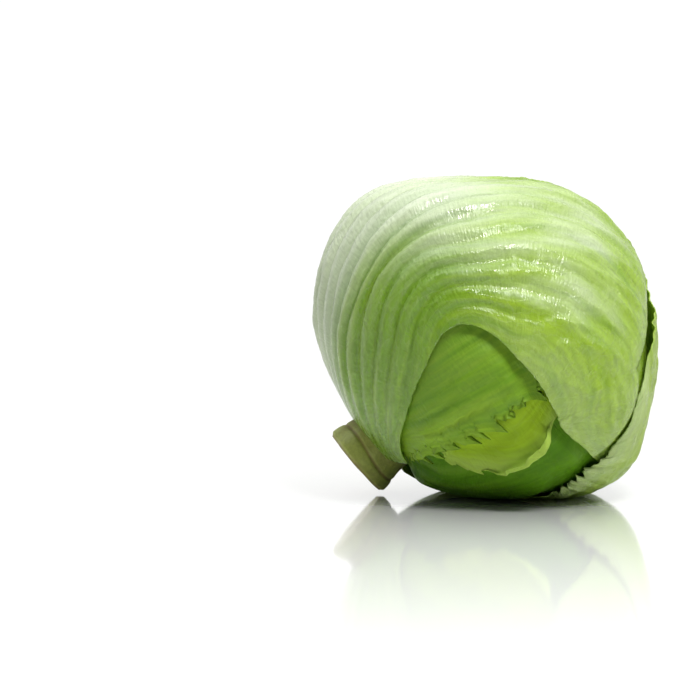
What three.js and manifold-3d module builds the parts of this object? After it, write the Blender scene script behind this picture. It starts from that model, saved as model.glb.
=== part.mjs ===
// A head of iceberg lettuce lying on its side, in millimetres, +Z up, standing on the plane z = 0.
// The front is towards -Y and the cut stem points down to the left, towards -X.
// Every leaf is a thin shell that wraps one rounded outline. What lies outside a leaf presses it inwards.

import * as THREE from "three";
import { mergeVertices } from "three/addons/utils/BufferGeometryUtils.js";
import Module from "manifold-3d";

// Outline of the whole head: an oblate ball about the stem axis, flattened on three sides.
const HALF_WIDTH_UP = 87.5; // across the stem axis, on the upper side
const HALF_WIDTH_DOWN = 81.5; // across the stem axis, on the lower side
const HALF_WIDTH_SIDEWAYS = 84; // across the stem axis, front to back
const HALF_HEIGHT_CROWN = 72.3; // along the stem axis, to the crown
const HALF_HEIGHT_STEM = 74; // along the stem axis, to the stem
const FLATS = [
  { towards: new THREE.Vector3(0, 0, 1), at: 72.3 },
  { towards: new THREE.Vector3(0, 0, -1), at: 71 },
  { towards: new THREE.Vector3(1, 0, 0), at: 69.3 },
];
const FLAT_SHARPNESS = 14; // the higher, the tighter the bend into a flat
const CENTRE_HEIGHT = 69.3; // of the head's middle above the table
const STEM_TILT = 41; // degrees from the table up to the stem axis

// Cut stem, measured outwards along its axis from the head's middle.
const STEM_TIP_RADIUS = 7;
const STEM_CONE_RADIUS = 13;
const STEM_WAIST_RADIUS = 16;
const STEM_BUTT_RADIUS = 18;
const STEM_TIP_AT = 24;
const STEM_TIP_LENGTH = 3;
const STEM_SHOULDER_AT = 52;
const STEM_WAIST_AT = 73;
const STEM_CUT_AT = 85;
const STEM_BEVEL = 1.6;
const STEM_SIDES = 28;

// Leaves.
const BLADE = 1.0; // thickness of a blade
const RIB = 2.6; // extra thickness of a midrib at its root
const RIB_HALF_WIDTH = 9; // degrees
const RIB_RUN = 0.7; // share of the leaf's length that the midrib fades over
const GAP = 1.1; // air between one leaf and the next
const ROOT_CLEARANCE = 1.4; // air between a leaf's root and the stem
const DRAPE = 12; // degrees over which a leaf settles beside another's margin
const ROOT_OVERRUN = 4; // degrees that a leaf presses past its own root
const SEAM = -60; // degrees behind the root where a leaf's length is counted from
const SETTLING = 8; // rounds it takes to find a direction's place on a leaf
const ROOT_RUN = 0.2; // share of a leaf's length, at its root, that stays flat on the head
const LIFT_BEND = 4; // power of the distance from the midrib that a margin lifts with
const RUFFLE_BEND = 6; // and that its ruffle grows with

// Heart: the packed inner leaves, a ball with their margins in relief.
const HEART_DETAIL = 8;
const HEART_STEP = 1.4;
const HEART_STEP_RUN = 5;
const HEART_LEAVES = 5;
const GOLDEN_ANGLE = 137.5;
const SOCKET_CLEARANCE = 0.5;

const STEM_FINISH = { color: 0xc9cf9c, roughness: 0.6 };
const HEART_FINISH = { color: 0xc6d988, roughness: 0.5 };
const LEAF_ROUGHNESS = 0.4;

const RADIANS = Math.PI / 180;
const WELD = 1e-4; // corners closer than this are one

// Directions of the head: along the stem axis to the crown, up across it, and to the front.
const TILT = STEM_TILT * RADIANS;
const CROWN = new THREE.Vector3(Math.cos(TILT), 0, Math.sin(TILT));
const UPWARD = new THREE.Vector3(-Math.sin(TILT), 0, Math.cos(TILT));
const FRONT = new THREE.Vector3(0, -1, 0);
const STEM_WAY = CROWN.clone().negate();

// Leaves from the innermost to the outermost. Azimuth is where the midrib runs, turned about the stem axis
// from the top (0) to the front (90). Lean tips the leaf's plane. Reach is how far round the head it goes
// at its left margin, midrib and right margin. Left and right are its half widths from root to tip.
// All of these are in degrees.
// Tooth is the depth of the margin's teeth in degrees. Lift, ruffle and pleat are millimetres off the head.
const LEAVES = [
  {
    name: "wrapper_under",
    azimuth: 165,
    lean: 0,
    reach: [165, 178, 165],
    left: [20, 52, 70, 72, 58, 26],
    right: [20, 44, 58, 60, 50, 24],
    rows: 22,
    columns: 14,
    tooth: 1.6,
    lift: 0.4,
    ruffle: 0.5,
    pleat: 0.4,
    waves: 5,
    colour: 0x5b8a26,
  },
  {
    name: "wrapper_back",
    azimuth: 300,
    lean: 0,
    reach: [160, 176, 165],
    left: [20, 46, 60, 62, 52, 26],
    right: [20, 44, 58, 60, 50, 26],
    rows: 22,
    columns: 14,
    tooth: 1.8,
    lift: 0.8,
    ruffle: 1.0,
    pleat: 0.6,
    waves: 6,
    colour: 0x9cc25a,
  },
  {
    name: "frill_back",
    azimuth: 262,
    lean: 4,
    reach: [96, 104, 112],
    left: [14, 24, 34, 44, 42, 26],
    right: [14, 22, 30, 36, 34, 22],
    rows: 18,
    columns: 10,
    tooth: 2.4,
    lift: 1.6,
    ruffle: 2.2,
    pleat: 0.5,
    waves: 5,
    colour: 0x8fb63c,
  },
  {
    name: "frill_front",
    azimuth: 85,
    lean: -5,
    reach: [112, 104, 96],
    left: [14, 22, 28, 30, 28, 18],
    right: [12, 12, 17, 31, 40, 31],
    rows: 20,
    columns: 10,
    tooth: 2.0,
    lift: 1.4,
    ruffle: 2.4,
    pleat: 0.4,
    waves: 6,
    colour: 0x86b32b,
  },
  {
    name: "wrapper_front",
    azimuth: 75,
    lean: -8,
    reach: [148, 154, 150],
    left: [20, 36, 46, 48, 42, 22],
    right: [18, 25, 31, 34, 32, 20],
    rows: 22,
    columns: 12,
    tooth: 2.6,
    lift: 1.2,
    ruffle: 1.2,
    pleat: 0.7,
    waves: 7,
    colour: 0x86ab50,
  },
  {
    name: "wrapper_top",
    azimuth: 18,
    lean: -13,
    reach: [182, 204, 268],
    left: [24, 48, 62, 66, 60, 34],
    right: [44, 56, 59, 56, 70, 76, 77, 72, 44],
    rows: 28,
    columns: 26,
    tooth: 1.2,
    lift: 2.0,
    ruffle: 0.8,
    pleat: 1.8,
    waves: 5,
    colour: 0xb4ce82,
  },
  {
    name: "wrapper_side",
    azimuth: 215,
    lean: 15,
    reach: [170, 166, 155],
    left: [20, 42, 64, 75, 67, 44],
    right: [20, 38, 52, 58, 54, 34],
    rows: 22,
    columns: 14,
    tooth: 2.2,
    lift: 1.0,
    ruffle: 1.6,
    pleat: 0.7,
    waves: 6,
    colour: 0xa3c765,
  },
];

// Smooth ramp from 0 at low to 1 at high.
function ramp(low, high, x) {
  const share = THREE.MathUtils.clamp((x - low) / (high - low), 0, 1);
  return share * share * (3 - 2 * share);
}

// A repeatable draw from 0 to 1 for a pair of whole numbers.
function draw(a, b) {
  const mixed = Math.sin(a * 12.9898 + b * 78.233) * 43758.5453;
  return mixed - Math.floor(mixed);
}

// Curve through evenly spaced values, at a share of its length.
function along(values, share) {
  const last = values.length - 1;
  const place = THREE.MathUtils.clamp(share, 0, 1) * last;
  const at = Math.min(Math.floor(place), last - 1);
  const f = place - at;
  const p0 = values[Math.max(at - 1, 0)];
  const p1 = values[at];
  const p2 = values[at + 1];
  const p3 = values[Math.min(at + 2, last)];
  const slope1 = (p2 - p0) / 2;
  const slope2 = (p3 - p1) / 2;
  const bend = 2 * (p1 - p2) + slope1 + slope2;
  return p1 + f * (slope1 + f * (p2 - p1 - slope1 - bend + f * bend));
}

// Parabola through a value at the left margin (-1), the midrib (0) and the right margin (1).
function across([left, middle, right], v) {
  return (left * v * (v - 1)) / 2 + middle * (1 - v * v) + (right * v * (v + 1)) / 2;
}

// Distance from the head's middle to its outline in a direction.
function outline(way) {
  const crown = way.dot(CROWN);
  const upward = way.dot(UPWARD);
  const ball = Math.hypot(
    crown / (crown > 0 ? HALF_HEIGHT_CROWN : HALF_HEIGHT_STEM),
    upward / (upward > 0 ? HALF_WIDTH_UP : HALF_WIDTH_DOWN),
    way.dot(FRONT) / HALF_WIDTH_SIDEWAYS,
  );
  let sum = ball ** FLAT_SHARPNESS;
  for (const flat of FLATS) sum += (Math.max(way.dot(flat.towards), 0) / flat.at) ** FLAT_SHARPNESS;
  return sum ** (-1 / FLAT_SHARPNESS);
}

// A leaf's own axes: its right-hand side, the way of its root and the way its midrib sets off.
function addAxes(leaf) {
  const turn = (leaf.azimuth + 90) * RADIANS;
  const lean = leaf.lean * RADIANS;
  const side = UPWARD.clone()
    .multiplyScalar(Math.cos(turn) * Math.cos(lean))
    .addScaledVector(FRONT, Math.sin(turn) * Math.cos(lean))
    .addScaledVector(CROWN, Math.sin(lean));
  const root = STEM_WAY.clone().addScaledVector(side, -STEM_WAY.dot(side)).normalize();
  return { ...leaf, side, root, ahead: root.clone().cross(side), stemAside: -leaf.lean };
}

function halfWidth(leaf, u, v) {
  return along(v < 0 ? leaf.left : leaf.right, u);
}

// How far along a leaf, in degrees, its root stands clear of the stem, at an angle aside of the midrib.
function rootAt(leaf, aside) {
  const t = aside * RADIANS;
  const stem = leaf.stemAside * RADIANS;
  const cosine = (Math.cos(leaf.clasp) - Math.sin(t) * Math.sin(stem)) / (Math.cos(t) * Math.cos(stem));
  return cosine < 1 ? Math.acos(cosine) / RADIANS : 0;
}

// Angle aside of the midrib and angle along it of the leaf's point (u, v).
// Here u runs from root to tip and v from margin to margin.
function leafAngles(leaf, u, v) {
  const aside = v * halfWidth(leaf, u, v);
  const start = rootAt(leaf, aside);
  return { aside, ahead: start + u * (across(leaf.reach, v) - start) };
}

function leafWay(leaf, u, v) {
  const { aside, ahead } = leafAngles(leaf, u, v);
  const t = aside * RADIANS;
  const s = ahead * RADIANS;
  return leaf.root
    .clone()
    .multiplyScalar(Math.cos(t) * Math.cos(s))
    .addScaledVector(leaf.ahead, Math.cos(t) * Math.sin(s))
    .addScaledVector(leaf.side, Math.sin(t));
}

// Where a direction falls on a leaf: its u and v, and how far in degrees it lies inside the leaf's margin.
function placeOn(leaf, way) {
  const aside = Math.asin(THREE.MathUtils.clamp(way.dot(leaf.side), -1, 1)) / RADIANS;
  let ahead = Math.atan2(way.dot(leaf.ahead), way.dot(leaf.root)) / RADIANS;
  if (ahead < SEAM) ahead += 360;
  const start = rootAt(leaf, aside);
  let u = 0.5;
  let v = 0;
  let width = 1;
  for (let turn = 0; turn < SETTLING; turn++) {
    width = halfWidth(leaf, u, aside);
    v = THREE.MathUtils.clamp(aside / width, -1, 1);
    u = THREE.MathUtils.clamp((ahead - start) / (across(leaf.reach, v) - start), 0, 1);
  }
  const inside = Math.min(
    width - Math.abs(aside),
    (across(leaf.reach, v) - ahead) * Math.cos(aside * RADIANS),
    ahead + ROOT_OVERRUN,
  );
  return { u, aside, inside };
}

function thickness(u, aside) {
  const fade = Math.max(1 - u / RIB_RUN, 0);
  return BLADE + RIB * fade * fade * Math.exp(-((aside / RIB_HALF_WIDTH) ** 2));
}

// Room in millimetres that the leaves from number first outwards take above a direction,
// and how far they cover it.
function pressFrom(first, way) {
  let depth = 0;
  let covered = 0;
  for (const leaf of leaves.slice(first)) {
    const place = placeOn(leaf, way);
    const cover = ramp(-DRAPE, 0, place.inside);
    depth += cover * (thickness(place.u, place.aside) + GAP);
    covered = Math.max(covered, cover);
  }
  return { depth, covered };
}

// A point at a distance in a direction, kept above the table by the room that is taken below it.
function setDown(way, distance, room) {
  const point = way.clone().multiplyScalar(distance);
  point.z = Math.max(point.z, room - CENTRE_HEIGHT);
  return point;
}

// A closed mesh from points and triangles.
function geometryOf(points, triangles) {
  const geometry = new THREE.BufferGeometry().setFromPoints(points);
  geometry.setIndex(triangles);
  geometry.computeVertexNormals();
  return geometry;
}

// One leaf: an outer and an inner face on the same grid, joined round the rim.
// Teeth draw in every other row at the margins and every other column at the tip.
function leafGeometry(leaf, number) {
  const { rows, columns } = leaf;
  const outer = [];
  const inner = [];
  for (let i = 0; i <= rows; i++) {
    for (let j = 0; j <= columns; j++) {
      const notch = leaf.tooth * (0.5 + draw(i + j, number));
      const atMargin = j === 0 || j === columns;
      const flatU = i / rows;
      const flatV = (2 * j) / columns - 1;
      const u = i === rows && j % 2 ? 1 - notch / leaf.reach[1] : flatU;
      const v = atMargin && i % 2 ? flatV * (1 - notch / halfWidth(leaf, u, flatV)) : flatV;
      const way = leafWay(leaf, u, v);
      const { aside } = leafAngles(leaf, u, v);
      const { depth, covered } = pressFrom(number + 1, way);
      const wave = Math.sin(2 * Math.PI * leaf.waves * u + number) * Math.sign(v);
      const free = 1 - covered;
      const edge = leaf.lift * v ** LIFT_BEND + leaf.ruffle * v ** RUFFLE_BEND * (1 + wave);
      const rise = free * ramp(0, ROOT_RUN, u) * (edge + leaf.pleat * ((j + 1) % 2));
      const skin = thickness(u, aside);
      const distance = outline(way) - depth + rise;
      outer.push(setDown(way, distance, depth));
      inner.push(setDown(way, distance - skin, depth + skin));
    }
  }
  const across = columns + 1;
  const count = outer.length;
  const triangles = [];
  const rim = [];
  for (let i = 0; i < rows; i++) {
    for (let j = 0; j < columns; j++) {
      const a = i * across + j;
      const b = a + 1;
      const c = a + across;
      const d = c + 1;
      triangles.push(a, b, c, b, d, c);
      triangles.push(count + a, count + c, count + b, count + b, count + c, count + d);
    }
  }
  for (let j = 0; j < columns; j++) rim.push([j + 1, j], [rows * across + j, rows * across + j + 1]);
  for (let i = 0; i < rows; i++) {
    rim.push([i * across, (i + 1) * across]);
    rim.push([(i + 2) * across - 1, (i + 1) * across - 1]);
  }
  for (const [a, b] of rim) triangles.push(a, b, count + b, a, count + b, count + a);
  return geometryOf([...outer, ...inner], triangles);
}

// Lathe profile of the stem, from its tip inside the head to the cut butt, grown by a clearance.
function stemGeometry(grow) {
  const profile = [
    [0, STEM_TIP_AT - grow],
    [STEM_TIP_RADIUS + grow, STEM_TIP_AT + STEM_TIP_LENGTH],
    [STEM_CONE_RADIUS + grow, (STEM_TIP_AT + STEM_SHOULDER_AT) / 2],
    [STEM_WAIST_RADIUS + grow, STEM_SHOULDER_AT],
    [STEM_WAIST_RADIUS + grow, STEM_WAIST_AT],
    [STEM_BUTT_RADIUS + grow, STEM_CUT_AT - 2 * STEM_BEVEL],
    [STEM_BUTT_RADIUS + grow, STEM_CUT_AT - STEM_BEVEL],
    [STEM_BUTT_RADIUS - STEM_BEVEL + grow, STEM_CUT_AT + grow],
    [0, STEM_CUT_AT + grow],
  ].map(([radius, at]) => new THREE.Vector2(radius, at));
  const geometry = new THREE.LatheGeometry(profile, STEM_SIDES);
  geometry.applyQuaternion(new THREE.Quaternion().setFromUnitVectors(new THREE.Vector3(0, 1, 0), STEM_WAY));
  return geometry;
}

// Packed inner leaves: what the wrappers leave, stepped down where an inner leaf's margin ends.
function heartGeometry() {
  const ball = weld(new THREE.IcosahedronGeometry(1, HEART_DETAIL));
  const place = ball.getAttribute("position");
  const way = new THREE.Vector3();
  for (let i = 0; i < place.count; i++) {
    way.fromBufferAttribute(place, i).normalize();
    const { depth } = pressFrom(0, way);
    let room = depth + GAP;
    for (const leaf of innerLeaves) room += HEART_STEP * ramp(HEART_STEP_RUN, 0, placeOn(leaf, way).inside);
    const point = setDown(way, outline(way) - room, room);
    place.setXYZ(i, point.x, point.y, point.z);
  }
  return ball;
}

// A geometry with position alone and shared corners merged.
function weld(geometry) {
  const bare = geometry.clone();
  bare.deleteAttribute("normal");
  bare.deleteAttribute("uv");
  return mergeVertices(bare, WELD);
}

const wasm = await Module();
wasm.setup();

function solid(geometry) {
  const welded = weld(geometry);
  return new wasm.Manifold(
    new wasm.Mesh({
      numProp: 3,
      vertProperties: new Float32Array(welded.getAttribute("position").array),
      triVerts: new Uint32Array(welded.index.array),
    }),
  );
}

function geometryFromSolid(shape) {
  const mesh = shape.getMesh();
  const geometry = new THREE.BufferGeometry();
  geometry.setAttribute("position", new THREE.BufferAttribute(mesh.vertProperties, mesh.numProp));
  geometry.setIndex(new THREE.BufferAttribute(mesh.triVerts, 1));
  geometry.computeVertexNormals();
  return geometry;
}

// A leaf's root clasps the stem at the angle where its inner face comes clear of the waist.
const leaves = LEAVES.map(addAxes);
for (let number = leaves.length - 1; number >= 0; number--) {
  const leaf = leaves[number];
  const inside = outline(STEM_WAY) - (leaves.length - number) * (BLADE + GAP) - RIB;
  leaf.clasp = Math.asin((STEM_WAIST_RADIUS + ROOT_CLEARANCE) / inside);
}
const innerLeaves = Array.from({ length: HEART_LEAVES }, (_, number) => ({
  ...addAxes({ ...LEAVES[0], azimuth: number * GOLDEN_ANGLE }),
  clasp: leaves[0].clasp,
}));

const lettuce = new THREE.Group();
lettuce.position.z = CENTRE_HEIGHT;

function add(name, geometry, finish) {
  const mesh = new THREE.Mesh(geometry, new THREE.MeshStandardMaterial({ ...finish, metalness: 0 }));
  mesh.name = name;
  lettuce.add(mesh);
}

add("stem", stemGeometry(0), STEM_FINISH);
const socket = solid(stemGeometry(SOCKET_CLEARANCE));
add("heart", geometryFromSolid(solid(heartGeometry()).subtract(socket)), HEART_FINISH);
leaves.forEach((leaf, number) => {
  add(leaf.name, leafGeometry(leaf, number), { color: leaf.colour, roughness: LEAF_ROUGHNESS });
});

export default lettuce;
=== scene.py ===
"""A head of iceberg lettuce lying on its side, in a white studio.

Each leaf is a thin blade that wraps one rounded outline. A place on a leaf is given by two numbers: u runs
along its midrib from root (0) to tip (1), and v across it from its left margin (-1) to its right one (1).
Lengths are in millimetres and angles in degrees until a mesh is made, unless a comment says otherwise.
"""

import bpy
import numpy as np
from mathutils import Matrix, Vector


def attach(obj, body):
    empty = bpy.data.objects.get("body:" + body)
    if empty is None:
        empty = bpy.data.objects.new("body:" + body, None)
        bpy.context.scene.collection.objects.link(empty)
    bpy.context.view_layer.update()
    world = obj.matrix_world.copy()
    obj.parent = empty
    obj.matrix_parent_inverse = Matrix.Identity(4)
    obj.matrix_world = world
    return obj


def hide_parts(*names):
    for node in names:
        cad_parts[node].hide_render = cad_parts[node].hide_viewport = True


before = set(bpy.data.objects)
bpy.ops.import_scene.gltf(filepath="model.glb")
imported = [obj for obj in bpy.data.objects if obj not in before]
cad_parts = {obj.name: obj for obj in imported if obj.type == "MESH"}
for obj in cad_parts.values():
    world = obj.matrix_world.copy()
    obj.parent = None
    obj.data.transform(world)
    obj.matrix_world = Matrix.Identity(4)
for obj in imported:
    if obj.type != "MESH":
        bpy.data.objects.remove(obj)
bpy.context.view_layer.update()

MM = 0.001  # metres in a millimetre

# Outline of the whole head: an oblate ball about the stem axis, flattened on three sides.
HALF_WIDTH_UP = 87.5
HALF_WIDTH_DOWN = 81.5
HALF_WIDTH_SIDEWAYS = 84.0
HALF_HEIGHT_CROWN = 72.3
HALF_HEIGHT_STEM = 74.0
FLATS = (((0, 0, 1), 72.3), ((0, 0, -1), 71.0), ((1, 0, 0), 69.3))
FLAT_SHARPNESS = 14
CENTRE_HEIGHT = 69.3
STEM_TILT = np.radians(41)

CROWN = np.array((np.cos(STEM_TILT), 0, np.sin(STEM_TILT)))
UPWARD = np.array((-np.sin(STEM_TILT), 0, np.cos(STEM_TILT)))
FRONT = np.array((0, -1, 0))
CENTRE = np.array((0, 0, CENTRE_HEIGHT))

# Stem, measured outwards along its axis from the head's middle.
STEM_WAIST_RADIUS = 16.0
STEM_BUTT_RADIUS = 18.0
STEM_START_AT = 52.0
STEM_WAIST_AT = 73.0
STEM_CUT_AT = 85.0
STEM_ROUNDING = 2.0  # length of the rounded rim at the cut
STEM_RIM_DROP = 1.4
STEM_INSET = 0.6  # leaves room for the lobes
STEM_LOBES = ((5, 0.35, 1), (9, 0.25, 0))  # number round the stem, height, turn in radians
STEM_SCAR_AT = STEM_WAIST_AT + 4.0
STEM_SCAR_SWAY = 1.5
STEM_SCAR_HALF_WIDTH = 0.8
STEM_SCAR_DEPTH = 0.5
STEM_CUT_DIP = 0.8
STEM_SIDES = 160
STEM_ROWS = 90
STEM_SKIN_SHARE = 0.7  # of its rows that run along it, the rest are on the cut face
STEM_CUT_BLEND = 0.04  # share of the rows over which the cut's colour comes in
STEM_RIM_BROWNING = 0.03  # share of the rows that are browned at the rim

# Leaves: blade, midrib, the air between leaves, and how they settle on each other.
BLADE = 1.0
RIB = 2.6
RIB_HALF_WIDTH = 9.0
RIB_RUN = 0.7
GAP = 1.1
ROOT_CLEARANCE = 1.4
DRAPE = 12.0
ROOT_OVERRUN = 4.0
SEAM = -60.0
SETTLING = 8
ROOT_RUN = 0.2
MARGIN_BLADE = 0.5  # share of the blade's thickness left at its margins
MARGIN_THINNING = 8  # power of the way out to the margin
MM_PER_DEGREE = 1.4  # along the head's surface
MAP_LENGTH = 100.0  # of leaf in one unit of its map

# Draws are the fraction of a large sine. Each leaf has its own seed, and each of its features adds a number.
DRAW_STEPS = (127.1, 311.7, 74.7)
DRAW_SCALE = 43758.5453
SEED_STEP = 17
SEED_START = 3
FRILL_DRAW = 4
TIP_DRAW = 5
BULGE_DRAW = 9
FOLD_DRAW = 11
PATCH_DRAW = 21

# Teeth on a margin. A layer has a number of teeth to the tooth length, and a share of the depth.
TOOTH_LAYERS = ((1, 0.75), (2.7, 0.25))
TOOTH_LONG_FLANK = 0.68
TOOTH_HOLLOW = 1.8  # power of the way up a flank
TOOTH_LEAST = 0.25  # share of a full tooth's height that the smallest draw gives
TOOTH_WANDER = 0.6
TOOTH_WANDER_RATE = 0.7
TOOTH_STANDS_OUT = 0.4  # share of a tooth beyond the leaf's margin
TOOTH_LEANS = 0.6  # share of a tooth that leans to the tip
MARGIN_POWER = 6  # of the way out, for what is only near a margin or only inside it
LEFT_TEETH_START = 50
TIP_TEETH_START = 90
CORNER_ROUNDING = 0.06
CORNER_POWER = 8
TIP_POWER = 10

# A rolled margin turns back through these radians, and has at least this radius.
ROLL_TURN = 3.6
LEAST_ROLL = 1e-3

# Veins. An order has its number to a rib, how much lower it is than a rib, its half width as a share of its
# spacing, and the share of the leaf's length where it starts.
VEIN_ORDERS = ((1, 0.0, 0.24, -1), (2, 0.35, 0.2, 0.1), (4, 0.7, 0.2, 0.25))
VEIN_LEAST = 0.3  # share of a full vein's height that the smallest draw gives
VEIN_START_RUN = 0.2
VEIN_ROOT_SPREAD = 0.1
VEIN_LEFT_FLANK = 1.3
VEIN_RIGHT_FLANK = 0.6
VEIN_FAINTNESS = 0.6  # of the finer orders in colour
RIB_FAN = 0.3
SWEEP_RUN = 0.7
RIB_WANDER = 0.9
RIB_WANDER_LENGTH = 80
RIB_WANDER_WIDTH = 45

# Relief between the veins and at the margins. A run is the span of the leaf's length that a ramp takes.
LIFT_POWER = 4
FRILL_POWER = 7
FRILL_WANDER = 1.6
FRILL_WANDER_LENGTH = 22
FRILL_WANDER_WIDTH = 40
FOLD_LENGTH = 85
FOLD_SLANT = 0.2
FOLD_SPREAD = 1.6
FOLD_RUN = (0.05, 0.4)
FOLD_AT_ROOT = 0.3  # share of its height
FOLD_FULL_RUN = (0.4, 0.75)
BULGE_LENGTH = 7
BULGES_PER_RIB = 2.2

# Where a leaf is veined, whitish or warm: runs along it, and spans of the way out from its midrib.
RIB_PAINT_WIDTH = 1.2
RIB_PAINT_RUN = (0.1, 0.75)
VEIN_PAINT_AT_TIP = 0.35
VEIN_PAINT_LOSS = 0.6
VEIN_PAINT_ACROSS = (0.45, 0.8)
PATCH_STRENGTH = 0.35
PATCH_LENGTH = 45
PATCHES_PER_RIB = 1.2
FOOT_ACROSS = (0.2, 0.5)
FOOT_RUN = (0.28, 0.46)
BAND_ACROSS = (0.72, 0.95)
BAND_RUN = (0.3, 0.55)
WARM_ACROSS = (0.45, 0.95)
PALE_OFF_VEINS = 0.6

# Leaves from the innermost to the outermost. Azimuth, lean and reach give a leaf its place, and left and
# right are the half widths of its sides from root to tip. The other lists run from root to tip too, and one
# that a leaf doesn't have is zero.
# Of each margin, lift is its height off the head, teeth the depth of its teeth in degrees, frill the height
# of its small waves and roll the radius that it curls to.
# Ribs is the number on a side, their height at root and at tip, and the shares of the length that they
# fade between. Sweep is how far the ribs lean to the left on their way to the tip.
# Folds is the height and width of the long folds, blister the height of the bulges between veins.
# White is how whitish the leaf's middle is, with the shares of its width and of its length that this fades
# between; on the top leaf it spreads over the crown where the key light's highlight falls, so there it is
# partly a painted highlight. Warm holds the shares of the length between which the leaf turns warmer, and
# how warm its margins are. Band is how pale its left and right margins are. Green foot is how green its
# right side is near the root. Settle and drape are how far from a leaf above it the leaf goes flat and gives
# way.
LEAVES = (
    dict(
        name="wrapper_under", slot="leaf_under", grid=(170, 150),
        azimuth=165, lean=0, reach=(165, 178, 165),
        left=(20, 52, 70, 72, 58, 26), right=(20, 44, 58, 60, 50, 24),
        left_lift=(0.4,), right_lift=(0.4,),
        tooth_length=6, left_teeth=(2,), right_teeth=(2,),
        frill_length=16, left_frill=(0.3,), right_frill=(0.3,),
        ribs=(6, 0.8, 0.3, 0.1, 0.5), sweep=0, folds=(0.6, 16), blister=0.15,
        white=(0.15, 0, 0.5, 0.1, 0.5), warm=(0.3, 0.7, 0.2), band=(0, 0),
    ),
    dict(
        name="wrapper_back", slot="leaf_back", grid=(220, 160),
        azimuth=300, lean=0, reach=(160, 176, 165),
        left=(20, 46, 60, 62, 52, 26), right=(20, 44, 58, 60, 50, 26),
        left_lift=(0.5, 1.5), right_lift=(0.5, 1.5),
        tooth_length=8, left_teeth=(3,), right_teeth=(3,),
        frill_length=13, left_frill=(0.5, 1.5), right_frill=(0.5, 1.5),
        ribs=(7, 2.2, 0.5, 0.2, 0.7), sweep=0.1, folds=(2.2, 12), blister=0.35,
        white=(0.8, 0.1, 0.7, 0.3, 0.75), warm=(0.3, 0.7, 0.4), band=(0.2, 0.2),
    ),
    dict(
        name="frill_back", slot="frill", grid=(150, 120),
        azimuth=262, lean=4, reach=(96, 104, 112),
        left=(14, 24, 34, 44, 42, 26), right=(14, 22, 30, 36, 34, 22),
        left_lift=(0, 1.5, 2.5), right_lift=(0, 1.5, 2.5),
        tooth_length=9, left_teeth=(4,), right_teeth=(4,),
        frill_length=11, left_frill=(0.5, 2, 2.5), right_frill=(0.5, 2, 2.5),
        ribs=(5, 1.4, 0.5, 0.2, 0.7), sweep=0, folds=(2, 11), blister=0.3,
        white=(0.4, 0, 0.5, 0.2, 0.6), warm=(0.3, 0.7, 0.7), band=(0.2, 0.2),
    ),
    dict(
        name="frill_front", slot="frill", grid=(190, 160),
        azimuth=85, lean=-5, reach=(112, 104, 96),
        left=(14, 22, 28, 30, 28, 18), right=(12, 12, 17, 31, 40, 31),
        right_lift=(0, 0, 1, 3.4, 3.0, 1.5), right_roll=(0, 0, 0, 0, 2.4, 1.0),
        tooth_length=11, right_teeth=(0, 0, 4, 3, 0.8, 0.6),
        frill_length=17, right_frill=(0, 0, 0.6, 1.6, 1, 0.5),
        ribs=(5, 1.2, 0.8, 0.3, 0.9), sweep=0, folds=(1.8, 10), blister=0.25,
        white=(0, 0, 0.5, 0.1, 0.5), warm=(0.1, 0.5, 1), band=(0, 0.3),
    ),
    dict(
        name="wrapper_front", slot="leaf_front", grid=(230, 150),
        azimuth=75, lean=-8, reach=(148, 154, 150),
        left=(20, 36, 46, 48, 42, 22), right=(18, 25, 31, 34, 32, 20),
        right_lift=(0, 0.5, 1.0, 2.0, 1.5, 1),
        tooth_length=8, right_teeth=(1, 4, 6, 9, 6, 3),
        frill_length=10, right_frill=(0, 0.5, 1.0, 1.4, 1, 0.5),
        ribs=(7, 1.1, 0.5, 0.2, 0.8), sweep=0.1, folds=(1.2, 10), blister=0.2,
        white=(0.12, 0, 0.8, 0.3, 0.8), warm=(0.5, 0.9, 0.7), band=(0, 0),
    ),
    dict(
        name="wrapper_top", slot="leaf_top", grid=(264, 184),
        azimuth=18, lean=-13, reach=(182, 235, 268),
        left=(24, 48, 62, 66, 60, 34), right=(44, 56, 59, 56, 70, 76, 77, 72, 44),
        left_lift=(0.4, 1.2, 1.8), right_lift=(0, 0, 0, 0.4, 1.6, 2.2, 1.6, 0.8, 0.4),
        tooth_length=14, left_teeth=(1.5,), right_teeth=(0.4,),
        frill_length=20, left_frill=(0.3, 0.8), right_frill=(0, 0.1, 0.2, 0.4),
        ribs=(9, 3.6, 0.9, 0.3, 0.75), sweep=0.5, folds=(3.4, 8), blister=0.45,
        # The top leaf's whitish middle is its pale midrib area and, spread wide over the crown, a painted
        # highlight.
        white=(0.95, 0.3, 0.9, 0.42, 0.72), warm=(0.3, 0.55, 0), band=(0.2, 0.12),
        green_foot=1, settle=18, drape=5,
    ),
    dict(
        name="wrapper_side", slot="leaf_side", grid=(240, 180),
        azimuth=215, lean=15, reach=(170, 166, 155),
        left=(20, 42, 64, 75, 67, 44), right=(20, 38, 52, 58, 54, 34),
        left_lift=(0, 0, -0.4, -0.5, -0.7, -0.9), right_lift=(0.4, 1.2),
        tooth_length=13, left_teeth=(1, 2, 2, 6, 4, 0.5), right_teeth=(3,),
        frill_length=15, left_frill=(0, 0.2, 0.3, 1.2, 0.8, 0), right_frill=(0.4, 1.4),
        ribs=(7, 2.2, 0.9, 0.3, 0.9), sweep=0.15, folds=(3, 10), blister=0.45,
        white=(0.75, 0.05, 0.6, 0.4, 0.95), warm=(0.4, 0.8, 1), band=(0.3, 0.2),
    ),
)

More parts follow.
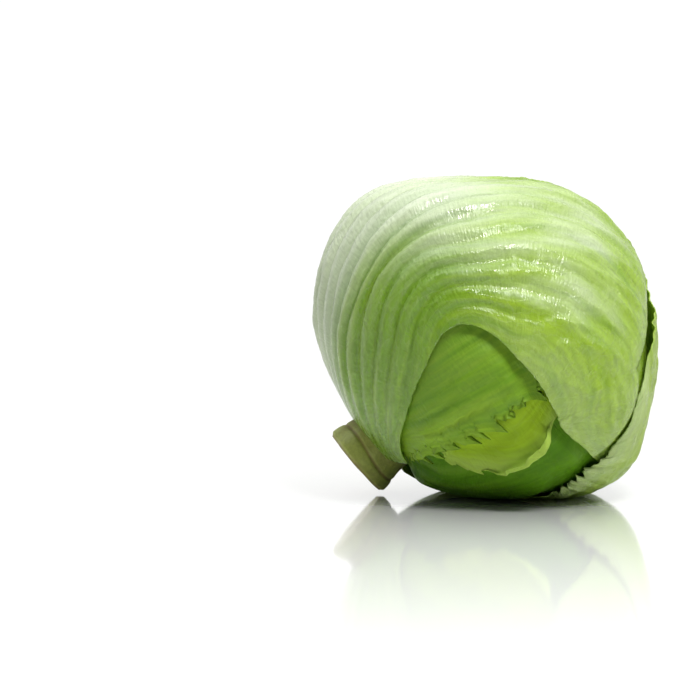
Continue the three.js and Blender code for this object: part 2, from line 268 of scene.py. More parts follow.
# Colours of the leaves from the dark one below to the whitish midribs, and of the stem.
DEEP = (0.10, 0.27, 0.006)
DEEP_WARM = (0.14, 0.33, 0.004)
MID = (0.22, 0.41, 0.03)
FRONT_GREEN = (0.17, 0.36, 0.018)
TOP_GREEN = (0.20, 0.39, 0.02)
TOP_WARM = (0.38, 0.58, 0.045)
SIDE_GREEN = (0.30, 0.50, 0.045)
FRILL_GREEN = (0.28, 0.50, 0.012)
FRILL_WARM = (0.39, 0.60, 0.02)
FRESH = (0.33, 0.54, 0.03)
WARM = (0.44, 0.62, 0.085)
VEIN = (0.56, 0.71, 0.26)
# Whitish midribs and root; on the top leaf also the colour of its painted highlight over the crown.
WHITE = (0.75, 0.82, 0.64)
OLIVE = (0.42, 0.47, 0.10)
CUT = (0.55, 0.52, 0.28)
BROWN = (0.20, 0.12, 0.04)

# Patterns on a leaf: number to a decimetre, stretch along, across and out of it, and layers of detail.
STREAKS = (16, (0.07, 1, 1), 3)
CELLS = (50, (0.12, 1, 1), 3)
WET_PATCHES = (16, (0.6, 1.2, 1), 3)
RIPPLES = (75, (1.0, 0.3, 1), 2)
NET = (17, (0.4, 1.2, 1))
NET_WANDER = 1.2
CELL_SHADE = 0.55  # of the leaf's green
WET_RANGE = 0.25  # by which the roughness grows where the leaf is dry
RIPPLE_HEIGHT = 0.7
NET_HEIGHT = 0.15
LIGHT_THROUGH = 0.22  # share of the light that comes through a leaf

# Patterns on the stem and the heart: number to a metre and layers of detail.
SKIN_PATCHES = (60, 4)
FIBRES = (700, 3)
FIBRE_SHADE = 0.6
FIBRE_HEIGHT = 0.5
HEART_PATCHES = (40, 4)
HEART_GRAIN = (500, 3)
HEART_GRAIN_HEIGHT = 0.4

# Table. The mirror fades between two distances from the head, in metres.
TABLE_COLOUR = (0.93, 0.93, 0.93, 1)
TABLE_ROUGHNESS = 0.07
TABLE_SPECULAR = 0.3
TABLE_MIRROR = 0.58
TABLE_MIRROR_RUN = (-0.42, 0.0)
TABLE_SIDE = 1500.0
TABLE_FRONT = -1500.0
TABLE_BACK = 800.0

# Studio: soft boxes with their place, target and size in metres and power in watts, and the surroundings'
# light from dim behind the camera to bright behind the head.
SOFT_BOXES = (
    ("overhead", (0, 0.3, 2.2), (0, 0.3, 0), 3.0, 40),
    ("key", (0.25, -0.55, 1.05), (0, 0, 0.08), 0.36, 11),
    ("side", (1.0, -0.15, 0.45), (0, 0, 0.07), 0.2, 0.7),
)
DIM = (0.1,) * 3
BRIGHT = (1.05,) * 3
BRIGHT_RUN = (-0.3, 0.5)

CAMERA_AIM = np.array((-66.8, 0, 65.2))
CAMERA_DISTANCE = 1200.0
CAMERA_RISE = np.radians(4)
CAMERA_SENSOR = 36
CAMERA_LENS = 135.8


def ramp(low, high, x):
    """Smooth rise from 0 at low to 1 at high: the cubic 3x^2 - 2x^3 of the share between them."""
    share = np.clip((x - low) / (high - low), 0, 1)
    return share * share * (3 - 2 * share)


def scatter(i, j, seed):
    """A repeatable draw from 0 to 1 for whole numbers i and j: the fraction of a large sine."""
    wave = np.sin(i * DRAW_STEPS[0] + j * DRAW_STEPS[1] + seed * DRAW_STEPS[2]) * DRAW_SCALE
    return wave - np.floor(wave)


def noise(x, y, seed):
    """Smooth noise from 0 to 1: draws at whole numbers, blended between them by the cubic ramp."""
    i, j = np.floor(x), np.floor(y)
    f, g = ramp(0, 1, x - i), ramp(0, 1, y - j)
    near = scatter(i, j, seed) * (1 - f) + scatter(i + 1, j, seed) * f
    far = scatter(i, j + 1, seed) * (1 - f) + scatter(i + 1, j + 1, seed) * f
    return near * (1 - g) + far * g


def cloud(x, y, seed):
    """Three layers of noise, each twice as fine and half as strong as the last, from 0 to 1."""
    return (4 * noise(x, y, seed) + 2 * noise(2 * x, 2 * y, seed + 1) + noise(4 * x, 4 * y, seed + 2)) / 7


def along(values, share):
    """Smooth curve through evenly spaced values: a cubic in each span, with slopes taken from its
    neighbours."""
    values = np.asarray(values if len(values) > 1 else 2 * values, float)
    last = len(values) - 1
    place = np.clip(share, 0, 1) * last
    at = np.minimum(place.astype(int), last - 1)
    f = place - at
    p0, p1 = values[np.maximum(at - 1, 0)], values[at]
    p2, p3 = values[at + 1], values[np.minimum(at + 2, last)]
    slope1, slope2 = (p2 - p0) / 2, (p3 - p1) / 2
    bend = 2 * (p1 - p2) + slope1 + slope2
    return p1 + f * (slope1 + f * (p2 - p1 - slope1 - bend + f * bend))


def across(ends, v):
    """Parabola through values at the left margin (-1), the midrib (0) and the right margin (1)."""
    left, middle, right = ends
    return left * v * (v - 1) / 2 + middle * (1 - v * v) + right * v * (v + 1) / 2


def outline(way):
    """Distance from the head's middle to its outline: a ball of unequal half axes, blended with planes by a
    power."""
    crown, upward, front = way @ CROWN, way @ UPWARD, way @ FRONT
    ball = np.sqrt(
        (crown / np.where(crown > 0, HALF_HEIGHT_CROWN, HALF_HEIGHT_STEM)) ** 2
        + (upward / np.where(upward > 0, HALF_WIDTH_UP, HALF_WIDTH_DOWN)) ** 2
        + (front / HALF_WIDTH_SIDEWAYS) ** 2
    )
    total = ball**FLAT_SHARPNESS
    for towards, at in FLATS:
        total += (np.maximum(way @ np.array(towards, float), 0) / at) ** FLAT_SHARPNESS
    return total ** (-1 / FLAT_SHARPNESS)


def with_axes(leaf, number):
    """A leaf with its number and axes: its right-hand side, the way of its root, the way its midrib sets
    off, and the angle that it clasps the stem at."""
    turn, lean = np.radians(leaf["azimuth"] + 90), np.radians(leaf["lean"])
    side = np.cos(lean) * (np.cos(turn) * UPWARD + np.sin(turn) * FRONT) + np.sin(lean) * CROWN
    root = -CROWN + (CROWN @ side) * side
    root /= np.linalg.norm(root)
    inside = HALF_HEIGHT_STEM - (len(LEAVES) - number) * (BLADE + GAP) - RIB
    clasp = np.arcsin((STEM_WAIST_RADIUS + ROOT_CLEARANCE) / inside)
    return dict(leaf, number=number, side=side, root=root, ahead=np.cross(root, side), clasp=clasp)


def side_values(leaf, side, what):
    """The list of one side of a leaf, or zero where the leaf doesn't have it."""
    return leaf.get(side + what, (0,))


def of_side(leaf, what, u, v):
    """A value that runs along the leaf's left or right side, whichever v is on."""
    left, right = side_values(leaf, "left", what), side_values(leaf, "right", what)
    return np.where(v < 0, along(left, u), along(right, u))


def half_width(leaf, u, v):
    """Half width of the side that v is on."""
    return of_side(leaf, "", u, v)


def root_at(leaf, aside):
    """Angle along the leaf where its root comes clear of the stem, from the cosine rule on the ball of
    directions."""
    t, stem = np.radians(aside), np.radians(-leaf["lean"])
    cosine = (np.cos(leaf["clasp"]) - np.sin(t) * np.sin(stem)) / (np.cos(t) * np.cos(stem))
    return np.degrees(np.arccos(np.minimum(cosine, 1)))


def leaf_angles(leaf, u, v):
    """Angles aside of the midrib and along it of the leaf's point (u, v): shares of its width and reach."""
    aside = v * half_width(leaf, u, v)
    start = root_at(leaf, aside)
    return aside, start + u * (across(leaf["reach"], v) - start)


def leaf_way(leaf, aside, ahead):
    """Unit direction for the two angles, on the leaf's own axes."""
    t, s = np.radians(aside)[..., None], np.radians(ahead)[..., None]
    return np.cos(t) * (np.cos(s) * leaf["root"] + np.sin(s) * leaf["ahead"]) + np.sin(t) * leaf["side"]


def place_on(leaf, way):
    """Where directions fall on a leaf: u, the angle aside, and how far inside its margin they lie. As
    width and reach depend on u, it is found by going round a few times."""
    aside = np.degrees(np.arcsin(np.clip(way @ leaf["side"], -1, 1)))
    ahead = np.degrees(np.arctan2(way @ leaf["ahead"], way @ leaf["root"]))
    ahead = np.where(ahead < SEAM, ahead + 360, ahead)
    start = root_at(leaf, aside)
    u = np.full_like(aside, 0.5)
    for _ in range(SETTLING):
        width = half_width(leaf, u, aside)
        reach = across(leaf["reach"], np.clip(aside / width, -1, 1))
        u = np.clip((ahead - start) / (reach - start), 0, 1)
    tip = (reach - ahead) * np.cos(np.radians(aside))
    return u, aside, np.minimum(np.minimum(width - np.abs(aside), tip), ahead + ROOT_OVERRUN)


def thickness(u, aside):
    """Blade plus a midrib that is a bell across and fades as a square along."""
    fade = np.maximum(1 - u / RIB_RUN, 0)
    return BLADE + RIB * fade**2 * np.exp(-((aside / RIB_HALF_WIDTH) ** 2))


def press_from(leaves, way, drape, settle):
    """Room that the given leaves take above directions, and how far they cover them. Both grow from 0 at a
    distance outside a margin, in degrees, to their full value under it."""
    depth, covered = np.zeros(way.shape[:-1]), np.zeros(way.shape[:-1])
    for leaf in leaves:
        u, aside, inside = place_on(leaf, way)
        depth += ramp(-drape, 0, inside) * (thickness(u, aside) + GAP)
        covered = np.maximum(covered, ramp(-settle, 0, inside))
    return depth, covered


def set_down(way, distance, room):
    """Points at a distance in a direction, kept above the table by the room that is taken below them."""
    points = way * distance[..., None] + CENTRE
    points[..., 2] = np.maximum(points[..., 2], room)
    return points


def teeth(place, seed):
    """Notch depth from 0 to 1 along a margin: slanted teeth of drawn depths, with small ones on their
    flanks."""
    place = place + TOOTH_WANDER * noise(place * TOOTH_WANDER_RATE, place * 0, seed)
    depth = np.zeros_like(place)
    for scale, share in TOOTH_LAYERS:
        number = np.floor(place * scale)
        f = place * scale - number
        slope = np.where(f < TOOTH_LONG_FLANK, f / TOOTH_LONG_FLANK, (1 - f) / (1 - TOOTH_LONG_FLANK))
        draw = scatter(number, number * 0 + scale, seed)
        depth += share * (1 - slope**TOOTH_HOLLOW * (TOOTH_LEAST + (1 - TOOTH_LEAST) * draw))
    return depth


def torn_angles(leaf, u, v, seed):
    """Angles of the leaf's points once teeth have drawn its margins and its tip in. At the margins, a
    tooth moves a point aside and to the tip by a power of the way out, and at the tip the corners are
    rounded by powers."""
    out, width, middle = np.abs(v), half_width(leaf, u, v), leaf["reach"][1]
    aside, ahead = leaf_angles(leaf, u, v)
    notch = teeth(ahead * MM_PER_DEGREE / leaf["tooth_length"] + np.where(v < 0, LEFT_TEETH_START, 0), seed)
    tip_notch = teeth(aside * MM_PER_DEGREE / leaf["tooth_length"] + TIP_TEETH_START, seed + TIP_DRAW)
    tip_notch = tip_notch * along(side_values(leaf, "left", "_teeth"), u)
    tooth = of_side(leaf, "_teeth", u, v)
    edge_v = v * (1 + tooth * (TOOTH_STANDS_OUT - notch) / width * out**MARGIN_POWER)
    edge_u = u * (1 - (tip_notch / middle + CORNER_ROUNDING * out**CORNER_POWER) * u**TIP_POWER)
    edge_u = np.clip(edge_u + tooth * (TOOTH_LEANS - notch) / middle * out**MARGIN_POWER, 0, 1)
    return leaf_angles(leaf, edge_u, edge_v)


def rolled_margin(leaf, u, v, aside):
    """Angle aside and height of a margin that curls over: its outermost strip is wound on a circle."""
    radius = np.maximum(of_side(leaf, "_roll", u, v), LEAST_ROLL)
    off_margin = (np.abs(v) - 1) * half_width(leaf, u, v) * MM_PER_DEGREE
    wound = np.maximum(off_margin + radius * ROLL_TURN, 0)
    turn = wound / radius
    aside = aside - np.sign(v) * (wound - radius * np.sin(turn)) / MM_PER_DEGREE
    return aside, radius * (1 - np.cos(turn))


def vein_field(leaf, u, v, s, t, seed):
    """Count of ribs from the midrib outwards, fanning with the leaf's length, swept to the left and
    wandering by noise, and the ridges on it: a bell over each rib, steeper on its right, and smaller ones
    over the veins at halves and quarters between ribs. Also the veins' strength, and how near the root a
    point counts."""
    count, at_root, at_tip, full_to, faded_at = leaf["ribs"]
    spread = v * (1 - RIB_FAN * u) + leaf["sweep"] * ramp(0, SWEEP_RUN, u)
    q = count * spread + RIB_WANDER * (cloud(s / RIB_WANDER_LENGTH, t / RIB_WANDER_WIDTH, seed) - 0.5)
    near_root = 1 - ramp(full_to, faded_at, u)
    height = np.zeros_like(q)
    strength = np.zeros_like(q)
    for split, low, wide, starts in VEIN_ORDERS:
        line = np.floor(q * split)
        draw = VEIN_LEAST + (1 - VEIN_LEAST) * scatter(line, line * 0 + split, seed)
        off = q * split - line - 0.5
        flank = np.where(off < 0, VEIN_LEFT_FLANK, VEIN_RIGHT_FLANK)
        bell = np.exp(-((off / ((wide + VEIN_ROOT_SPREAD * near_root) * flank)) ** 2))
        bell = draw * ramp(starts, starts + VEIN_START_RUN, u) * bell
        grow = at_tip + (at_root - at_tip) * near_root * (split == 1)
        height += bell * grow * (1 - low)
        strength = np.maximum(strength, bell * (1 - VEIN_FAINTNESS * low))
    return q, height, strength, near_root


def leaf_relief(leaf, u, v, s, t, q, ridges, seed):
    """Height of a leaf over its outline: a lifted margin and a frill of sines, each by a power of the way
    out, and inside the margins the ridges of its veins, long folds that are creases of noise, and bulges
    of noise."""
    out = np.abs(v)
    fold_height, fold_width = leaf["folds"]
    slanted = (t + FOLD_SLANT * s) / fold_width / FOLD_SPREAD
    crease = 1 - np.abs(2 * cloud(s / FOLD_LENGTH, slanted, seed + FOLD_DRAW) - 1)
    growth = FOLD_AT_ROOT + (1 - FOLD_AT_ROOT) * ramp(*FOLD_FULL_RUN, u)
    folds = fold_height * growth * crease**2 * ramp(*FOLD_RUN, u)
    bulge = leaf["blister"] * (2 * cloud(s / BULGE_LENGTH, q * BULGES_PER_RIB, seed + BULGE_DRAW) - 1)
    wander = FRILL_WANDER * noise(s / FRILL_WANDER_LENGTH, t / FRILL_WANDER_WIDTH, seed + FRILL_DRAW)
    frill = np.sin(2 * np.pi * (s / leaf["frill_length"] + wander))
    return (
        of_side(leaf, "_lift", u, v) * out**LIFT_POWER
        + of_side(leaf, "_frill", u, v) * out**FRILL_POWER * (1 + frill)
        + (ridges + bulge + folds) * (1 - out**MARGIN_POWER)
    )


def leaf_paints(leaf, u, v, aside, s, q, vein, near_root, seed):
    """How much of a vein, how whitish and how warm each point is, from 0 to 1: a bell over the midrib and
    the veins' strength, a patchy middle and pale bands at the margins, and ramps to the tip and to the
    margins."""
    out = np.abs(v)
    rib = np.exp(-((aside / (RIB_HALF_WIDTH * (RIB_PAINT_WIDTH - u))) ** 2)) * (1 - ramp(*RIB_PAINT_RUN, u))
    lines = vein * (VEIN_PAINT_AT_TIP + (1 - VEIN_PAINT_AT_TIP) * near_root)
    lines = lines * (1 - VEIN_PAINT_LOSS * ramp(*VEIN_PAINT_ACROSS, out))
    # Whitish middle: pale tissue round the midrib, and on the top leaf also a painted highlight over the
    # crown.
    strength, wide_from, wide_to, long_from, long_to = leaf["white"]
    patch = PATCH_STRENGTH * (cloud(s / PATCH_LENGTH, q * PATCHES_PER_RIB, seed + PATCH_DRAW) - 0.5)
    middle = 1 - ramp(wide_from, wide_to, out + patch)
    white = strength * middle * (1 - ramp(long_from, long_to, u + patch))
    white = white * (1 - leaf.get("green_foot", 0) * ramp(*FOOT_ACROSS, v) * (1 - ramp(*FOOT_RUN, u)))
    band = np.where(v < 0, *leaf["band"]) * ramp(*BAND_ACROSS, out) * ramp(*BAND_RUN, u)
    warm_from, warm_to, warm_margin = leaf["warm"]
    return dict(
        vein=np.maximum(lines, rib),
        pale=np.maximum(white * (PALE_OFF_VEINS + (1 - PALE_OFF_VEINS) * vein), band),
        warm=np.maximum(ramp(warm_from, warm_to, u), warm_margin * ramp(*WARM_ACROSS, out)),
    )


def mesh_piece(name, points, quads, material, uv=None, **paints):
    """A smooth mesh object from points in mm and faces of four corners, with float paints on its points."""
    mesh = bpy.data.meshes.new(name)
    mesh.vertices.add(len(points))
    mesh.vertices.foreach_set("co", (points * MM).astype(np.float32).ravel())
    mesh.loops.add(quads.size)
    mesh.loops.foreach_set("vertex_index", quads.astype(np.int32).ravel())
    mesh.polygons.add(len(quads))
    mesh.polygons.foreach_set("loop_start", np.arange(0, quads.size, 4, dtype=np.int32))
    mesh.polygons.foreach_set("use_smooth", np.ones(len(quads), bool))
    mesh.update(calc_edges=True)
    if uv is not None:
        layer = mesh.uv_layers.new(name="leaf")
        layer.data.foreach_set("uv", uv[quads.ravel()].astype(np.float32).ravel())
    for label, paint in paints.items():
        layer = mesh.attributes.new(label, "FLOAT", "POINT")
        layer.data.foreach_set("value", paint.astype(np.float32).ravel())
    mesh.materials.append(material)
    piece = bpy.data.objects.new(name, mesh)
    bpy.context.collection.objects.link(piece)
    return piece


def blade_faces(rows, columns):
    """Faces of a blade: its outer and inner grids, and the strip that joins them round the rim."""
    wide = columns + 1
    count = (rows + 1) * wide
    a = (np.arange(rows)[:, None] * wide + np.arange(columns)).ravel()
    outer = np.stack((a, a + 1, a + wide + 1, a + wide), -1)
    j, i = np.arange(columns), np.arange(rows) * wide
    starts = np.concatenate((j + 1, rows * wide + j, i, i + 2 * wide - 1))
    ends = np.concatenate((j, rows * wide + j + 1, i + wide, i + wide - 1))
    rim = np.stack((starts, ends, ends + count, starts + count), -1)
    return np.concatenate((outer, outer[:, ::-1] + count, rim))


def make_leaf(leaf, above, material):
    """One leaf: its grid of directions, closer together at the margins, pressed in by the leaves above it
    and raised by its relief where nothing covers it. The inner face lies a blade's thickness further
    in."""
    rows, columns = leaf["grid"]
    seed = leaf["number"] * SEED_STEP + SEED_START
    even = np.linspace(-1, 1, columns + 1)
    columns_at = 0.5 * even + 0.5 * np.sin(np.pi / 2 * even)
    u, v = np.meshgrid(np.linspace(0, 1, rows + 1), columns_at, indexing="ij")
    aside, ahead = torn_angles(leaf, u, v, seed)
    aside, curl = rolled_margin(leaf, u, v, aside)

    way = leaf_way(leaf, aside, ahead)
    depth, covered = press_from(above, way, leaf.get("drape", DRAPE), leaf.get("settle", DRAPE))
    s, t = ahead * MM_PER_DEGREE, aside * MM_PER_DEGREE
    q, ridges, vein, near_root = vein_field(leaf, u, v, s, t, seed)
    rise = curl + leaf_relief(leaf, u, v, s, t, q, ridges, seed)
    rise *= (1 - covered) * ramp(0, ROOT_RUN, u)
    skin = thickness(u, aside) * (1 - (1 - MARGIN_BLADE) * np.maximum(np.abs(v), u) ** MARGIN_THINNING)
    distance = outline(way) - depth + rise
    outer = set_down(way, distance, depth)
    inner = set_down(way, distance - skin, depth + skin)

    points = np.concatenate((outer.reshape(-1, 3), inner.reshape(-1, 3)))
    lane = t.max() / leaf["ribs"][0]
    uv = np.stack((s, q * lane), -1).reshape(-1, 2) / MAP_LENGTH
    paints = leaf_paints(leaf, u, v, aside, s, q, vein, near_root, seed)
    piece = mesh_piece(
        leaf["name"] + "_leaf", points, blade_faces(rows, columns), material, np.tile(uv, (2, 1)),
        **{label: np.tile(paint.ravel(), 2) for label, paint in paints.items()},
    )
    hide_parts(leaf["name"])
    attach(piece, "root")


def make_stem(material):
    """The cut stem: a profile of radius over the way out along the stem axis, turned about it. The radius
    bulges in slow lobes and ring-shaped leaf scars, and the cut face dips to its middle."""
    around = np.linspace(0, 2 * np.pi, STEM_SIDES + 1)[:-1]
    turn, out = np.meshgrid(around, np.linspace(0, 1, STEM_ROWS + 1))
    face = out > STEM_SKIN_SHARE
    at = STEM_START_AT + np.minimum(out / STEM_SKIN_SHARE, 1) * (STEM_CUT_AT - STEM_START_AT)
    flare = ramp(STEM_WAIST_AT - STEM_ROUNDING, STEM_CUT_AT - STEM_ROUNDING, at)
    radius = STEM_WAIST_RADIUS + flare * (STEM_BUTT_RADIUS - STEM_WAIST_RADIUS)
    lobes = sum(height * np.sin(number * turn + start) for number, height, start in STEM_LOBES)
    scar = np.exp(-(((at - STEM_SCAR_AT + STEM_SCAR_SWAY * np.sin(2 * turn)) / STEM_SCAR_HALF_WIDTH) ** 2))
    rim = STEM_RIM_DROP * ramp(STEM_CUT_AT - STEM_ROUNDING, STEM_CUT_AT, at)
    radius = radius - STEM_INSET + lobes - STEM_SCAR_DEPTH * scar - rim
    radius = radius * np.where(face, (1 - out) / (1 - STEM_SKIN_SHARE), 1)
    at = at - STEM_CUT_DIP * np.where(face, 1 - (radius / STEM_BUTT_RADIUS) ** 2, 0)
    spoke = np.cos(turn)[..., None] * UPWARD + np.sin(turn)[..., None] * FRONT
    points = CENTRE - at[..., None] * CROWN + radius[..., None] * spoke
    a = np.arange(STEM_ROWS)[:, None] * STEM_SIDES
    i, j = np.arange(STEM_SIDES), np.roll(np.arange(STEM_SIDES), -1)
    quads = np.stack((a + i, a + STEM_SIDES + i, a + STEM_SIDES + j, a + j), -1).reshape(-1, 4)
    browned = np.exp(-(((out - STEM_SKIN_SHARE) / STEM_RIM_BROWNING) ** 2))
    piece = mesh_piece(
        "stem_flesh", points.reshape(-1, 3), quads, material,
        cut=ramp(STEM_SKIN_SHARE, STEM_SKIN_SHARE + STEM_CUT_BLEND, out).ravel(),
        scar=np.maximum(scar, browned).ravel(),
    )
    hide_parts("stem")
    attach(piece, "root")


def node_tree(name):
    """A new material, with its nodes, links and main shader."""
    material = bpy.data.materials.new(name)
    material.use_nodes = True
    nodes, links = material.node_tree.nodes, material.node_tree.links
    return material, nodes, links, nodes["Principled BSDF"]


def attribute(nodes, name):
    """A paint on the piece's points."""
    node = nodes.new("ShaderNodeAttribute")
    node.attribute_name = name
    return node.outputs["Fac"]


def shaded(colour, share):
    """A colour made darker by a share."""
    return tuple(share * part for part in colour)


def mixed(nodes, links, share, low, high):
    """Colour mixed from low to high by a share. Each may be a colour, a number or another node's output."""
    node = nodes.new("ShaderNodeMix")
    node.data_type = "RGBA"
    for socket, value in ((node.inputs[0], share), (node.inputs[6], low), (node.inputs[7], high)):
        if isinstance(value, bpy.types.NodeSocket):
            links.new(value, socket)
        elif isinstance(value, tuple):
            socket.default_value = (*value, 1)
        else:
            socket.default_value = value
    return node.outputs[2]


def ranged(nodes, links, value, low, high, to_low=0.0, to_high=1.0):
    """A value mapped from one range to another, and held within it."""
    node = nodes.new("ShaderNodeMapRange")
    links.new(value, node.inputs["Value"])
    node.inputs["From Min"].default_value = low
    node.inputs["From Max"].default_value = high
    node.inputs["To Min"].default_value = to_low
    node.inputs["To Max"].default_value = to_high
    return node.outputs["Result"]


def cloudy(nodes, links, place, scale, detail):
    """Noise at a place, at a scale per unit of it."""
    node = nodes.new("ShaderNodeTexNoise")
    node.inputs["Scale"].default_value = scale
    node.inputs["Detail"].default_value = detail
    links.new(place, node.inputs["Vector"])
    return node.outputs["Fac"]


def leaf_place(nodes, links, stretch):
    """The leaf's own lengths, in decimetres along and across it, stretched."""
    place = nodes.new("ShaderNodeUVMap")
    place.uv_map = "leaf"
    mapping = nodes.new("ShaderNodeMapping")
    mapping.inputs["Scale"].default_value = stretch
    links.new(place.outputs["UV"], mapping.inputs["Vector"])
    return mapping.outputs["Vector"]


def grain(nodes, links, scale, stretch, detail):
    """Noise on the leaf's own lengths."""
    return cloudy(nodes, links, leaf_place(nodes, links, stretch), scale, detail)


def net_lines(nodes, links, scale, stretch):
    """Distance to the nearest line of a net of cells on the leaf's own lengths, moved about by noise."""
    node = nodes.new("ShaderNodeTexVoronoi")
    node.feature = "DISTANCE_TO_EDGE"
    node.inputs["Scale"].default_value = scale
    place = leaf_place(nodes, links, stretch)
    wander = nodes.new("ShaderNodeVectorMath")
    wander.operation = "MULTIPLY_ADD"
    drift = nodes.new("ShaderNodeTexNoise")
    drift.inputs["Scale"].default_value = scale
    links.new(place, drift.inputs["Vector"])
    links.new(drift.outputs["Color"], wander.inputs[0])
    wander.inputs[1].default_value = (NET_WANDER / scale,) * 3
    links.new(place, wander.inputs[2])
    links.new(wander.outputs["Vector"], node.inputs["Vector"])
    return node.outputs["Distance"]


def bump(nodes, links, height, distance, strength, under=None):
    """Normal of a fine relief, its height in mm, over another one if that is given."""
    node = nodes.new("ShaderNodeBump")
    node.inputs["Strength"].default_value = strength
    node.inputs["Distance"].default_value = distance * MM
    links.new(height, node.inputs["Height"])
    if under:
        links.new(under, node.inputs["Normal"])
    return node.outputs["Normal"]


def leaf_material(name, green, warm, vein, white, gloss, specular):
    """Leaf tissue: green turning warmer to the tip in streaks along the veins, darker in small cells,
    paler over the veins and their net and whitish at the root, with wet patches and a fine ripple across
    the veins. On the top leaf the whitish part spreads over the crown as a painted highlight."""
    material, nodes, links, shader = node_tree(name)
    streaks = ranged(nodes, links, grain(nodes, links, *STREAKS), 0.3, 0.7, -0.55, 0.55)
    warmth = nodes.new("ShaderNodeMath")
    warmth.use_clamp = True
    links.new(attribute(nodes, "warm"), warmth.inputs[0])
    links.new(streaks, warmth.inputs[1])
    tissue = mixed(nodes, links, warmth.outputs["Value"], green, warm)
    cells = ranged(nodes, links, grain(nodes, links, *CELLS), 0.35, 0.7, 0.0, 0.4)
    tissue = mixed(nodes, links, cells, tissue, shaded(green, CELL_SHADE))
    net = net_lines(nodes, links, *NET)
    tissue = mixed(nodes, links, ranged(nodes, links, net, 0.0, 0.05, 0.16, 0.0), tissue, vein)
    veins = ranged(nodes, links, attribute(nodes, "vein"), 0.2, 0.95, 0, 0.7)
    tissue = mixed(nodes, links, veins, tissue, vein)
    # Whitish middle and pale margin bands; on the top leaf the whitish part is partly a painted highlight.
    pale = ranged(nodes, links, attribute(nodes, "pale"), 0.02, 1)
    colour = mixed(nodes, links, pale, tissue, white)
    links.new(colour, shader.inputs["Base Color"])
    shader.inputs["Specular IOR Level"].default_value = specular
    wet = ranged(nodes, links, grain(nodes, links, *WET_PATCHES), 0.4, 0.62, gloss, gloss + WET_RANGE)
    links.new(wet, shader.inputs["Roughness"])
    ripple = bump(nodes, links, grain(nodes, links, *RIPPLES), RIPPLE_HEIGHT, 0.7)
    threads = bump(nodes, links, ranged(nodes, links, net, 0, 0.1, 1, 0), NET_HEIGHT, 0.4, ripple)
    links.new(threads, shader.inputs["Normal"])
    through = nodes.new("ShaderNodeBsdfTranslucent")
    links.new(colour, through.inputs["Color"])
    blend = nodes.new("ShaderNodeMixShader")
    blend.inputs["Fac"].default_value = LIGHT_THROUGH
    links.new(shader.outputs["BSDF"], blend.inputs[1])
    links.new(through.outputs["BSDF"], blend.inputs[2])
    links.new(blend.outputs["Shader"], nodes["Material Output"].inputs["Surface"])
    return material


def stem_material(name):
    """Stem flesh in object coordinates: olive skin with fibres, scars and browned patches."""
    material, nodes, links, shader = node_tree(name)
    place = nodes.new("ShaderNodeTexCoord").outputs["Object"]
    skin = cloudy(nodes, links, place, *SKIN_PATCHES)
    fibres = cloudy(nodes, links, place, *FIBRES)
    flesh = mixed(nodes, links, ranged(nodes, links, attribute(nodes, "cut"), 0.1, 0.9), OLIVE, CUT)
    dark_fibres = ranged(nodes, links, fibres, 0.4, 0.65, 0, 0.4)
    flesh = mixed(nodes, links, dark_fibres, flesh, shaded(OLIVE, FIBRE_SHADE))
    flesh = mixed(nodes, links, ranged(nodes, links, skin, 0.5, 0.7, 0, 0.6), flesh, BROWN)
    scars = ranged(nodes, links, attribute(nodes, "scar"), 0.2, 1, 0, 0.7)
    flesh = mixed(nodes, links, scars, flesh, BROWN)
    links.new(flesh, shader.inputs["Base Color"])
    links.new(ranged(nodes, links, skin, 0.3, 0.7, 0.4, 0.65), shader.inputs["Roughness"])
    links.new(bump(nodes, links, fibres, FIBRE_HEIGHT, 0.5), shader.inputs["Normal"])
    return material


def heart_material(name):
    """Packed inner leaves in object coordinates: pale yellow-green with soft patches and fine grain."""
    material, nodes, links, shader = node_tree(name)
    place = nodes.new("ShaderNodeTexCoord").outputs["Object"]
    patches = cloudy(nodes, links, place, *HEART_PATCHES)
    fine = cloudy(nodes, links, place, *HEART_GRAIN)
    flesh = mixed(nodes, links, ranged(nodes, links, patches, 0.35, 0.65), WARM, WHITE)
    links.new(flesh, shader.inputs["Base Color"])
    links.new(ranged(nodes, links, fine, 0.3, 0.7, 0.35, 0.55), shader.inputs["Roughness"])
    links.new(bump(nodes, links, fine, HEART_GRAIN_HEIGHT, 0.4), shader.inputs["Normal"])
    return material


def make_floor():
    """A pale table that runs out of the picture, half a mirror under the head and duller towards the
    camera."""
    material, nodes, links, shader = node_tree("table")
    shader.inputs["Base Color"].default_value = TABLE_COLOUR
    shader.inputs["Roughness"].default_value = TABLE_ROUGHNESS
    shader.inputs["Specular IOR Level"].default_value = TABLE_SPECULAR
    place = nodes.new("ShaderNodeTexCoord")
    axes = nodes.new("ShaderNodeSeparateXYZ")
    links.new(place.outputs["Object"], axes.inputs["Vector"])
    mirror = ranged(nodes, links, axes.outputs["Y"], *TABLE_MIRROR_RUN, 0.0, TABLE_MIRROR)
    links.new(mirror, shader.inputs["Metallic"])
    points = np.array((
        (-TABLE_SIDE, TABLE_FRONT, 0), (TABLE_SIDE, TABLE_FRONT, 0),
        (TABLE_SIDE, TABLE_BACK, 0), (-TABLE_SIDE, TABLE_BACK, 0),
    ))
    mesh_piece("table", points, np.array(((0, 1, 2, 3),)), material)


def soft_box(name, place, target, size, power):
    """A square light at a place in metres, turned to a target."""
    data = bpy.data.lights.new(name, "AREA")
    data.size = size
    data.energy = power
    light = bpy.data.objects.new(name, data)
    light.location = place
    light.rotation_euler = (Vector(target) - Vector(place)).to_track_quat("-Z", "Y").to_euler()
    bpy.context.collection.objects.link(light)


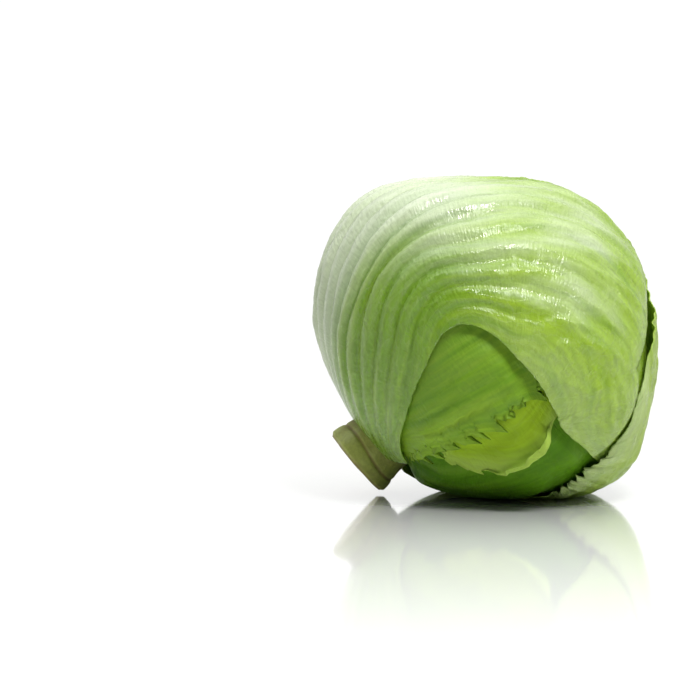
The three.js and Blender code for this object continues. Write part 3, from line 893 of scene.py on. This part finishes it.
def make_studio():
    """White surroundings that are dimmer behind the camera, and soft boxes above and at the right."""
    world = bpy.data.worlds.new("studio")
    bpy.context.scene.world = world
    world.use_nodes = True
    nodes, links = world.node_tree.nodes, world.node_tree.links
    place = nodes.new("ShaderNodeTexCoord")
    axes = nodes.new("ShaderNodeSeparateXYZ")
    links.new(place.outputs["Generated"], axes.inputs["Vector"])
    shade = mixed(nodes, links, ranged(nodes, links, axes.outputs["Y"], *BRIGHT_RUN), DIM, BRIGHT)
    links.new(shade, nodes["Background"].inputs["Color"])
    for box in SOFT_BOXES:
        soft_box(*box)
    bpy.context.scene.view_settings.view_transform = "Standard"


def make_camera():
    """A long lens at the photograph's low angle, aimed left of the head as in its frame."""
    place = CAMERA_AIM + CAMERA_DISTANCE * np.array((0, -np.cos(CAMERA_RISE), np.sin(CAMERA_RISE)))
    data = bpy.data.cameras.new("camera")
    data.sensor_width = CAMERA_SENSOR
    data.lens = CAMERA_LENS
    camera = bpy.data.objects.new("camera", data)
    camera.location = place * MM
    camera.rotation_euler = Vector((CAMERA_AIM - place) * MM).to_track_quat("-Z", "Y").to_euler()
    bpy.context.collection.objects.link(camera)
    bpy.context.scene.camera = camera


# Leaf finishes: green, warmer green, veins, whitish parts, roughness where wet, and strength of highlights.
MATERIALS = {
    "leaf_under": leaf_material("leaf_under", DEEP, DEEP_WARM, MID, FRESH, 0.4, 0.15),
    "leaf_back": leaf_material("leaf_back", FRESH, WARM, VEIN, WHITE, 0.22, 0.5),
    "frill": leaf_material("frill", FRILL_GREEN, FRILL_WARM, WARM, VEIN, 0.36, 0.12),
    "leaf_front": leaf_material("leaf_front", FRONT_GREEN, FRESH, FRESH, VEIN, 0.36, 0.25),
    "leaf_top": leaf_material("leaf_top", TOP_GREEN, TOP_WARM, VEIN, WHITE, 0.13, 0.65),
    "leaf_side": leaf_material("leaf_side", SIDE_GREEN, WARM, VEIN, WHITE, 0.26, 0.3),
}

leaves = [with_axes(leaf, number) for number, leaf in enumerate(LEAVES)]
for leaf in leaves:
    make_leaf(leaf, leaves[leaf["number"] + 1:], MATERIALS[leaf["slot"]])

make_stem(stem_material("stem"))
heart = heart_material("heart")
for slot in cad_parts["heart"].material_slots:
    slot.material = heart

make_floor()
make_studio()
make_camera()
